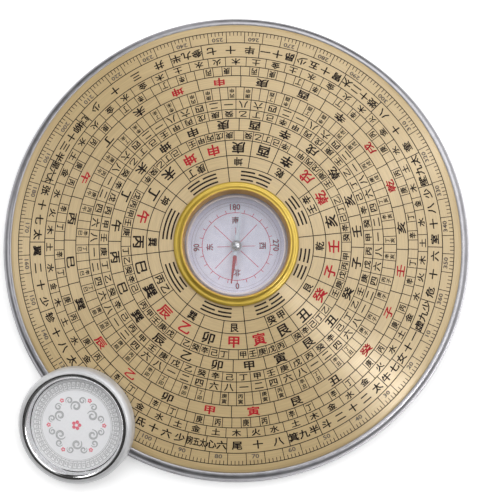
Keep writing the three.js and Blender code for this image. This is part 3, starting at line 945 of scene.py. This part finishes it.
def print_trigrams(black):
    for lines, turn in zip(TRIGRAMS, bearings(len(TRIGRAMS))):
        black.ray(PLATE_HOLE, EDGES[-1], turn - 180 / len(TRIGRAMS), LINE)
        for radius, unbroken in zip(BAR_RADII, lines):
            if unbroken == "1":
                black.arc(radius, BAR_WIDTH, turn - BAR_HALF_TURN, turn + BAR_HALF_TURN)
            else:
                black.arc(radius, BAR_WIDTH, turn - BAR_HALF_TURN, turn - BAR_GAP_HALF_TURN)
                black.arc(radius, BAR_WIDTH, turn + BAR_GAP_HALF_TURN, turn + BAR_HALF_TURN)


def print_dial():
    black = Print("dial_print_black", ink("ink_black", (0.02, 0.013, 0.01)))
    red = Print("dial_print_red", ink("ink_red", (0.5, 0.02, 0.03)))
    grey = Print("dial_print_numbers", ink("ink_grey", (0.16, 0.13, 0.11)))
    for radius in EDGES:
        black.arc(radius, LINE)
    print_degrees(black, grey)
    print_mansions(black)
    print_elements(black)
    print_fine_cells(black)
    print_mountains(black, red, "heaven", NORTH_ZERO + HEAVEN_SHIFT)
    print_sixties(black)
    print_mountains(black, black, "man", NORTH_ZERO + MOUNTAIN_TURN / 2)
    print_dragons(black)
    print_mountains(black, red, "earth", NORTH_ZERO)
    print_inner_ring(black)
    print_trigrams(black)
    for colour in (black, red, grey):
        colour.lay_on("body")


def print_card():
    red = Print("card_print", ink("ink_card_red", (0.58, 0.06, 0.14)), CARD_TOP)
    # The faint grey rings drawn on the card are painted refraction lines of the crystal's edge, not print.
    grey = Print("card_painted_refraction_rings", ink("ink_card_refraction_grey", (0.45, 0.41, 0.5)), CARD_TOP)
    for radius, width in CARD_REFRACTION_RINGS:
        grey.arc(radius, width)
    red.arc(CARD_CIRCLE, CARD_LINE)
    for i in range(CARD_TICKS):
        red.ray(CARD_CIRCLE, CARD_CIRCLE + CARD_TICK, CARD_TURN + i * 360 / CARD_TICKS, CARD_LINE)
    for i, (number, sign) in enumerate((("180", "南"), ("90", "东"), ("0", "北"), ("270", "西"))):
        turn = 90 + CARD_TURN + 90 * i
        red.sign(number, CARD_CIRCLE + CARD_NUMBER_LIFT, turn, *CARD_NUMBER_SIZE, outward=True)
        red.sign(sign, CARD_SIGN_RADIUS, turn, CARD_SIGN_SIZE, CARD_SIGN_SIZE, outward=True)
        for slant, (end, width) in zip((0, 45), CARD_RAYS):
            red.ray(CARD_RAY_START, end, turn + slant, width)
    red.lay_on("turning_compass")
    grey.lay_on("turning_compass")


# Compass and cap


def bezel_part():
    groove = SLEEVE_RADIUS - CIRCLIP_GROOVE_DEPTH
    peak = BEZEL_RADIUS - CUSHION_PEAK_INSET
    low, half = CUSHION_HEIGHT / 4, COLLAR_WALL / 2
    cushion = quarter((peak, BEZEL_BASE + low), (CUSHION_PEAK_INSET, CUSHION_HEIGHT - low), 0, 1)
    valley = [(COLLAR_RADIUS + out, CUSHION_TOP + up) for out, up in VALLEY_POINTS]
    end = (COLLAR_RADIUS, CUSHION_TOP + COLLAR_HEIGHT * VALLEY_END_SHARE)
    dip = curve_points([(peak, CUSHION_TOP), *valley, end], 12)
    crest = quarter((CREST_RADIUS, CREST_HEIGHT - half), (COLLAR_WALL, half), 0, 2, 14)
    section = [
        (BORE_RADIUS, LOCK_RING_BASE), (SLEEVE_RADIUS, LOCK_RING_BASE), (SLEEVE_RADIUS, GROOVE_BASE),
        (groove, GROOVE_BASE), (groove, GROOVE_TOP), (SLEEVE_RADIUS, GROOVE_TOP),
        (SLEEVE_RADIUS, BEZEL_BASE), (BEZEL_RADIUS, BEZEL_BASE),
    ]
    middle = (WINDOW_RADIUS + WELL_POINT[0], CREST_HEIGHT - WELL_POINT[1])
    well = curve_points([crest[-1], middle, (WINDOW_RADIUS, CRYSTAL_TOP)], 8)
    section += cushion + dip[1:] + crest + well[1:] + [(BORE_RADIUS, CRYSTAL_TOP)]
    return lathe(section, LARGE)


def cup_part():
    inner, hole = CRYSTAL_RADIUS - CUP_WALL, PIN_SHANK_RADIUS + GAP
    section = [
        (hole, CUP_BASE), (CRYSTAL_RADIUS, CUP_BASE), (CRYSTAL_RADIUS, GASKET_BASE),
        (inner, GASKET_BASE), (inner, CARD_BASE), (hole, CARD_BASE),
    ]
    return lathe(eased(section, 0.15), MIDDLE)


def window_part():
    """The crystal, with a polished bevel round its raised face."""
    face, foot = GLASS_FACE_RADIUS, GLASS_FACE_RADIUS + GLASS_BEVEL
    top = CRYSTAL_TOP + GLASS_RISE
    bevel = curve_points([(foot, CRYSTAL_TOP), (foot - GLASS_TUCK, top), (face, top)], 8)
    section = [(0, CRYSTAL_BASE), (CRYSTAL_RADIUS, CRYSTAL_BASE), (CRYSTAL_RADIUS, CRYSTAL_TOP)]
    return lathe(section + bevel + [(0, top)], LARGE)


def flat_ring(inner, outer, base, top, ease=0.12):
    section = [(inner, base), (outer, base), (outer, top), (inner, top)]
    return lathe(eased(section, ease), MIDDLE)


def needle_part():
    """A flat bar with an eye in the middle and arms that narrow to round tips."""
    edge = math.asin(NEEDLE_HALF_WIDTH / NEEDLE_EYE_RADIUS) / (math.pi / 2)
    arc = quarter((0, 0), (NEEDLE_EYE_RADIUS, NEEDLE_EYE_RADIUS), edge, 2 - edge, 16)
    tip_radii = (NEEDLE_TIP_RADIUS, NEEDLE_TIP_RADIUS)
    outer = []
    for flip, reach in ((0, NORTH_ARM), (math.pi, SOUTH_ARM)):
        spin = Matrix.Rotation(flip, 2)
        tip = quarter((reach - NEEDLE_TIP_RADIUS, 0), tip_radii, -1, 1, 8)
        outer += [tuple(spin @ Vector(p)) for p in tip + arc]
    count, eye = len(outer), JEWEL_RADIUS + GAP
    inner = [(x / math.hypot(x, y) * eye, y / math.hypot(x, y) * eye) for x, y in outer]
    rings = ((inner, NEEDLE_BASE), (outer, NEEDLE_BASE), (outer, NEEDLE_TOP), (inner, NEEDLE_TOP))
    corners = [(x, y, z) for ring, z in rings for x, y in ring]
    return corners, faces_between([range(i * count, (i + 1) * count) for i in range(4)])


def red_paint_part():
    """Paint on the north arm: a thin coat over its top and sides from a round start to the tip."""
    end = NORTH_ARM - NEEDLE_TIP_RADIUS
    eye_edge = math.sqrt(NEEDLE_EYE_RADIUS**2 - NEEDLE_HALF_WIDTH**2)
    places = np.linspace(RED_PAINT_START, end, 12)
    shares = (places - eye_edge) / (end - eye_edge)
    halves = NEEDLE_HALF_WIDTH + (NEEDLE_TIP_RADIUS - NEEDLE_HALF_WIDTH) * shares + PAINT_COAT
    start = quarter((RED_PAINT_START, 0), (halves[0], halves[0]), 1, 3, 8)
    tip = quarter((end, 0), (halves[-1], halves[-1]), -1, 1, 6)[1:-1]
    right = [(x, -half) for x, half in zip(places[1:], halves[1:])]
    left = [(x, half) for x, half in zip(places[:0:-1], halves[:0:-1])]
    return prism(start + right + tip + left, NEEDLE_BASE - PAINT_COAT, NEEDLE_TOP + PAINT_COAT)


def hub_cap_part():
    ceiling = HUB_CAP_TOP - HUB_CAP_WALL
    rise = (ceiling - NEEDLE_TOP) / 4
    inner = JEWEL_RADIUS + GAP
    dome = quarter((0, NEEDLE_TOP), (HUB_CAP_RADIUS, HUB_CAP_TOP - NEEDLE_TOP), 0, 1, 16)
    section = [(0, ceiling), (inner - rise, ceiling), (inner, ceiling - rise), (inner, NEEDLE_TOP)]
    return lathe(section + dome[:-1] + [(0, HUB_CAP_TOP)], SMALL)


def cap_face():
    """Outer face of the cap, from the skirt's edge over the shoulder and down to the sunk floor."""
    crest = CAP_RADIUS - CAP_SHOULDER
    shoulder = quarter((crest, CAP_SKIRT), (CAP_SHOULDER, CAP_HEIGHT - CAP_SKIRT), 0, 1, 20)
    depth = CAP_HEIGHT - CAP_FLOOR_HEIGHT
    slope = []
    for step in range(1, SLOPE_STEPS + 1):
        across_share = (step / SLOPE_STEPS) ** SLOPE_SPREAD
        down_share = 1 - (1 - across_share**SLOPE_ROUND) ** (1 / SLOPE_ROUND)
        slope.append((crest - CAP_SLOPE * across_share, CAP_HEIGHT - depth * down_share))
    return [(CAP_RADIUS, 0)] + shoulder + slope


def cap_shell_part():
    face = np.array(cap_face())
    along = np.gradient(face, axis=0)
    along /= np.linalg.norm(along, axis=1)[:, None]
    inside = face + np.column_stack([-along[:, 1], along[:, 0]]) * CAP_SHEET
    inside[0] = (CAP_INNER, 0)
    under = CAP_FLOOR_HEIGHT - CAP_SHEET
    inside[-1] = (CAP_FLOOR_RADIUS, under)
    walls = [tuple(p) for p in (*inside[::-1], *face)]
    return lathe([(0, under), *walls, (0, CAP_FLOOR_HEIGHT)], LARGE)


def print_key_pattern(target):
    """Hooked units in a row round the cap's band."""
    depth, turn = BAND_OUTER - BAND_INNER, 360 / KEY_UNITS
    for i in range(KEY_UNITS):
        for start, end in zip(KEY_PATH_SHARES, KEY_PATH_SHARES[1:]):
            (left, right), (low, high) = (sorted(pair) for pair in zip(start, end))
            if left == right:
                target.ray(BAND_INNER + depth * low, BAND_INNER + depth * high, turn * (i + left), KEY_LINE)
            else:
                ends = turn * (i + left) - KEY_OVERRUN, turn * (i + right) + KEY_OVERRUN
                target.arc(BAND_INNER + depth * low, KEY_LINE, *ends)
        foot = BAND_INNER + depth * KEY_PATH_SHARES[0][1]
        target.arc(foot, KEY_FOOT_LINE, turn * i, turn * (i + 1))


def print_curl(target, centre, size, hand, turn):
    """A curl that widens from its eye and narrows to its end."""
    shares = np.linspace(0, 1, 26)
    angle = hand * shares * 2 * math.pi * CURL_TURNS
    reach = size * (CURL_EYE_SHARE + (1 - CURL_EYE_SHARE) * shares)
    width = size * (CURL_END_SHARE + CURL_SWELL_SHARE * np.sin(shares * math.pi))
    out = np.column_stack([np.cos(angle), np.sin(angle)])
    middle = np.array(centre) + out * reach[:, None]
    flat = np.vstack([middle - out * width[:, None] / 2, middle + out * width[:, None] / 2])
    count = len(shares)
    faces = [[i, i + 1, i + 1 + count, i + count][:: 1 if hand < 0 else -1] for i in range(count - 1)]
    target.add(turned(flat, turn), faces)


def print_blossom(target, radius, turn, size):
    """Five round petals about a point."""
    reach = size * PETAL_SIZE_SHARE
    for i in range(5):
        petal = unit(turn) * radius + unit(turn + i * 2 * math.pi / 5) * size * PETAL_PLACE_SHARE
        target.add(quarter(petal, (reach, reach), 0, 4, 16)[:-1], [list(range(16))])


def print_cap(lean, place):
    """The cap's disc: an etched band, grey key pattern and cloud scrolls, and small red blossoms."""
    top = CAP_FLOOR_HEIGHT + EMBLEM_THICKNESS
    band = Print("cap_etched_band", etched_band(place), top)
    grey = Print("cap_print_grey", ink("ink_cap_grey", (0.5, 0.5, 0.51)), top + INK_LIFT)
    red = Print("cap_print_red", ink("ink_cap_red", (0.8, 0.2, 0.25)), top)
    band.arc((BAND_OUTER + BAND_INNER) / 2, BAND_OUTER - BAND_INNER)
    for radius, width in BAND_EDGE_LINES:
        grey.arc(radius, width)
    print_key_pattern(grey)
    for i in range(6):
        for centre, size, hand in CLOUD_CURLS:
            print_curl(grey, centre, size, hand, math.radians(60 * i + 30))
    for i in range(6):
        print_blossom(red, BLOSSOM_CIRCLE, math.radians(60 * i), BLOSSOM_SIZE)
    print_blossom(red, 0.0, 0.0, LARGE_BLOSSOM_SIZE)
    for colour in (band, grey, red):
        colour.lay_on("cap", lean)


# Make the pieces

PLASTIC, BRASS, STEEL = white_plastic(), brass(), steel()
TURNING, SWINGING = "turning_compass", "swinging_needle"

cast = body_part()
rim = add_piece("rim_and_body", cast, "body", rim_nickel(), ["body_casting"])
add_second_material(rim, cast, flange_satin(), lambda r, z: r > GROOVE_RADIUS and z < FLANGE_TOP + GAP)
add_piece("dial_face", dial_plate_part(), "body", dial_gold(), ["dial_plate"])

letters = STEMS + BRANCHES + MOUNTAINS + NUMERALS + MANSIONS + ELEMENTS + "十少半太南东北西"
SIGNS = Signs([*letters, *(str(degree) for degree in range(0, 370, 10))])
print_dial()

ring = bezel_part()
bezel = add_piece("bezel", ring, TURNING, bezel_gold(), ["bezel_ring"])
wall_edge = CREST_RADIUS - COLLAR_WALL * WALL_EDGE_SHARE
# The well's wall gets a darker, browner gold than the bezel: painted shade in the recess.
add_second_material(bezel, ring, well_gold(), lambda r, z: r < wall_edge and z > CRYSTAL_TOP - GAP)
add_piece("cup", cup_part(), TURNING, PLASTIC, ["capsule_cup"])
plate = flat_ring(PIN_SHANK_RADIUS + GAP, CARD_RADIUS, CARD_BASE, CARD_TOP, 0.08)
add_piece("card", plate, TURNING, card_white(), ["compass_card"])
print_card()
seal = flat_ring(CRYSTAL_RADIUS - CUP_WALL, CRYSTAL_RADIUS, GASKET_BASE, CRYSTAL_BASE)
add_piece("gasket", seal, TURNING, gasket_rubber(), ["crystal_gasket"])
pane = window_part()
window = add_piece("window", pane, TURNING, crystal_glass(), ["crystal"])
# The bevel gets a paler, far less clear glass than the face: a painted highlight ring.
add_second_material(window, pane, glass_edge(), lambda r, z: z > CRYSTAL_TOP and r > GLASS_FACE_RADIUS)

spun = Matrix.Rotation(NEEDLE_ANGLE, 4, "Z")
add_piece("needle_bar", moved(needle_part(), spun), SWINGING, needle_steel(spun), ["needle"])
add_piece("needle_red_coat", moved(red_paint_part(), spun), SWINGING, paint_red())
add_piece("needle_cap", hub_cap_part(), SWINGING, STEEL, ["needle_hub_cap"])

lean = Matrix.Translation((*unit(CAP_BEARING) * CAP_DISTANCE, CAP_RADIUS * math.sin(CAP_LEAN)))
for angle, axis in ((CAP_BEARING, "Z"), (CAP_LEAN, "Y"), (-CAP_BEARING, "Z")):
    lean = lean @ Matrix.Rotation(angle, 4, axis)
place = Matrix.LocRotScale(lean.translation * MM, lean.to_euler(), None)
shell = cap_shell_part()
cover = add_piece("cap_cover", moved(shell, lean), "cap", chrome(), ["cap_shell"])
add_second_material(cover, shell, satin_chrome(place), lambda r, z: r > CAP_RADIUS - CAP_SHOULDER)
disc_top = CAP_FLOOR_HEIGHT + EMBLEM_THICKNESS
disc = moved(flat_ring(0, CAP_FLOOR_RADIUS - GAP, CAP_FLOOR_HEIGHT, disc_top, 0.1), lean)
add_piece("cap_disc", disc, "cap", cap_disc_silver(place), ["cap_emblem_disc"])
felt_top = CAP_FLOOR_HEIGHT - CAP_SHEET
liner = moved(flat_ring(0, CAP_FLOOR_RADIUS - FELT_INSET, felt_top - FELT_THICKNESS, felt_top, 0.3), lean)
add_piece("cap_felt", liner, "cap", felt(), ["cap_felt_liner"])
print_cap(lean, place)

# Solids that are shown as they are
KEPT = dict(
    back_cover=cover_black(), compass_seat=BRASS, friction_washer=PLASTIC, bezel_circlip=STEEL,
    capsule_lock_ring=BRASS, pivot_pin=STEEL, jewel_cup=BRASS,
)
KEPT.update({f"cover_screw_{i + 1}": STEEL for i in range(RIB_COUNT)})
for name, material in KEPT.items():
    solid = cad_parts[name]
    solid.data.materials.clear()
    solid.data.materials.append(material)


# Camera, floor and light

PHOTO_PIXELS = 500
FOCAL_PIXELS = 1628
SENSOR = 36.0
TILT = math.radians(6)
MIDDLE_PIXEL = (236.2, 245.45)
TARGET = Vector((0, 0, 0.0088))
DISTANCE = 0.7017
FLOOR_REACH = 3
FLOOR_DROP = 0.0002
CARD_GRID = 9  # points along each side of a studio card
CAP_MIDDLE = (-0.068, -0.077)
# The side that most light comes from, and how far towards it a way points with the world's level there
LIGHT_SIDE = (0.3, 0.95, 0.0)
LIGHT_LEVELS = ((-1.0, 0.3), (-0.5, 0.28), (-0.12, 0.32), (0.08, 0.75), (0.35, 0.86), (1.0, 0.86))

camera_data = bpy.data.cameras.new("camera")
camera_data.sensor_width = SENSOR
camera_data.lens = SENSOR * FOCAL_PIXELS / PHOTO_PIXELS
camera_data.shift_x = (PHOTO_PIXELS / 2 - MIDDLE_PIXEL[0]) / PHOTO_PIXELS
camera_data.shift_y = -(PHOTO_PIXELS / 2 - MIDDLE_PIXEL[1]) / PHOTO_PIXELS
camera = add_object("camera", camera_data)
camera.location = TARGET + Vector((0, -math.sin(TILT), math.cos(TILT))) * DISTANCE
camera.rotation_euler = (TILT, 0, 0)
bpy.context.scene.camera = camera


def direction(azimuth, elevation):
    """The way from the middle towards an azimuth, against the clock from +X, and an elevation."""
    a, e = math.radians(azimuth), math.radians(elevation)
    return Vector((math.cos(a) * math.cos(e), math.sin(a) * math.cos(e), math.sin(e)))


def add_light(name, azimuth, elevation, distance, width, height, power):
    """A soft panel that faces the compass."""
    data = bpy.data.lights.new(name, "AREA")
    data.shape = "RECTANGLE"
    data.size = width
    data.size_y = height
    data.energy = power
    lamp = add_object(name, data)
    out = direction(azimuth, elevation)
    lamp.location = out * distance
    lamp.rotation_mode = "QUATERNION"
    lamp.rotation_quaternion = (-out).to_track_quat("-Z", "Y")
    return lamp


add_light("panel_right", 24, 66, 1.3, 0.9, 0.6, 2.5)
add_light("panel_left", 172, 60, 1.2, 0.5, 0.4, 1.7)
add_light("panel_back", 78, 63, 1.2, 0.4, 0.3, 0.9)
add_light("strip_right", 32, 42, 1.1, 0.1, 0.4, 0.8)
add_light("strip_left", 150, 44, 1.1, 0.12, 0.5, 0.8)
kicker = add_light("kicker", 326, 60, 1.3, 0.05, 0.35, 2.6)
kicker.visible_diffuse = False


def whiten(material, strength):
    """Lift a background surface towards white where it is seen straight, mirrored or through glass."""
    rays = node(material, "LightPath").outputs
    total = rays["Is Camera Ray"]
    for ray in ("Is Glossy Ray", "Is Transmission Ray"):
        total = maths(material, "Math", "MAXIMUM", total, rays[ray])["Value"]
    lift = maths(material, "Math", "MULTIPLY", total, strength)["Value"]
    set_shader(material, Emission_Color=(1, 1, 1, 1), Emission_Strength=lift)


paper = finish("floor_paper", (0.89, 0.89, 0.89), (0.92, 0.92, 0.92), 0.0, 0.9, grain, 40)
whiten(paper, 0.35)
floor_data = bpy.data.meshes.new("floor")
corners = [(x * FLOOR_REACH, y * FLOOR_REACH, 0) for x, y in ((-1, -1), (1, -1), (1, 1), (-1, 1))]
floor_data.from_pydata(corners, [], [[0, 1, 2, 3]])
floor_data.materials.append(paper)
floor = add_object("floor", floor_data)
floor.location.z = -FLOOR_DROP

CARD_BLACK = finish("studio_card", (0.02, 0.02, 0.02), (0.04, 0.038, 0.036), 0.0, 0.8, grain, 60)


def add_card(name, azimuths, elevations, distance, aim=(0.0, 0.0)):
    """A curved dark studio card, outside the view, which shows only in polished metal."""
    columns, rows = np.linspace(*azimuths, CARD_GRID), np.linspace(*elevations, CARD_GRID)
    middle = Vector((*aim, 0))
    points = [tuple(middle + direction(a, e) * distance) for e in rows for a in columns]
    starts = [r * CARD_GRID + c for r in range(CARD_GRID - 1) for c in range(CARD_GRID - 1)]
    data = bpy.data.meshes.new(name)
    data.from_pydata(points, [], [[i, i + 1, i + 1 + CARD_GRID, i + CARD_GRID] for i in starts])
    data.materials.append(CARD_BLACK)
    card = add_object(name, data)
    card.visible_camera = card.visible_diffuse = card.visible_shadow = card.visible_transmission = False


add_card("card_left", (185, 238), (4, 62), 0.35, CAP_MIDDLE)
add_card("card_high", (100, 245), (62, 73), 0.35, CAP_MIDDLE)
add_card("card_top", (96, 140), (10, 62), 0.35, CAP_MIDDLE)
add_card("card_front", (245, 305), (38, 68), 0.35, CAP_MIDDLE)
add_card("card_back", (45, 96), (2, 20), 0.24)

world = bpy.data.worlds.new("studio")
bpy.context.scene.world = world
world.use_nodes = True
generated = node(world, "TexCoord").outputs["Generated"]
towards = maths(world, "VectorMath", "DOT_PRODUCT", generated, LIGHT_SIDE)["Value"]
spread = node(world, "MapRange", Value=towards, From_Min=-1.0)
ramp = node(world, "ValToRGB", Fac=spread.outputs["Result"])
while len(ramp.color_ramp.elements) < len(LIGHT_LEVELS):
    ramp.color_ramp.elements.new(1.0)
for stop, (towards_light, level) in zip(ramp.color_ramp.elements, LIGHT_LEVELS):
    stop.position = towards_light / 2 + 0.5
    stop.color = (level, level, level, 1)
set_inputs(world, world.node_tree.nodes["Background"], Color=ramp.outputs["Color"], Strength=1.0)

bpy.context.scene.view_settings.view_transform = "Standard"
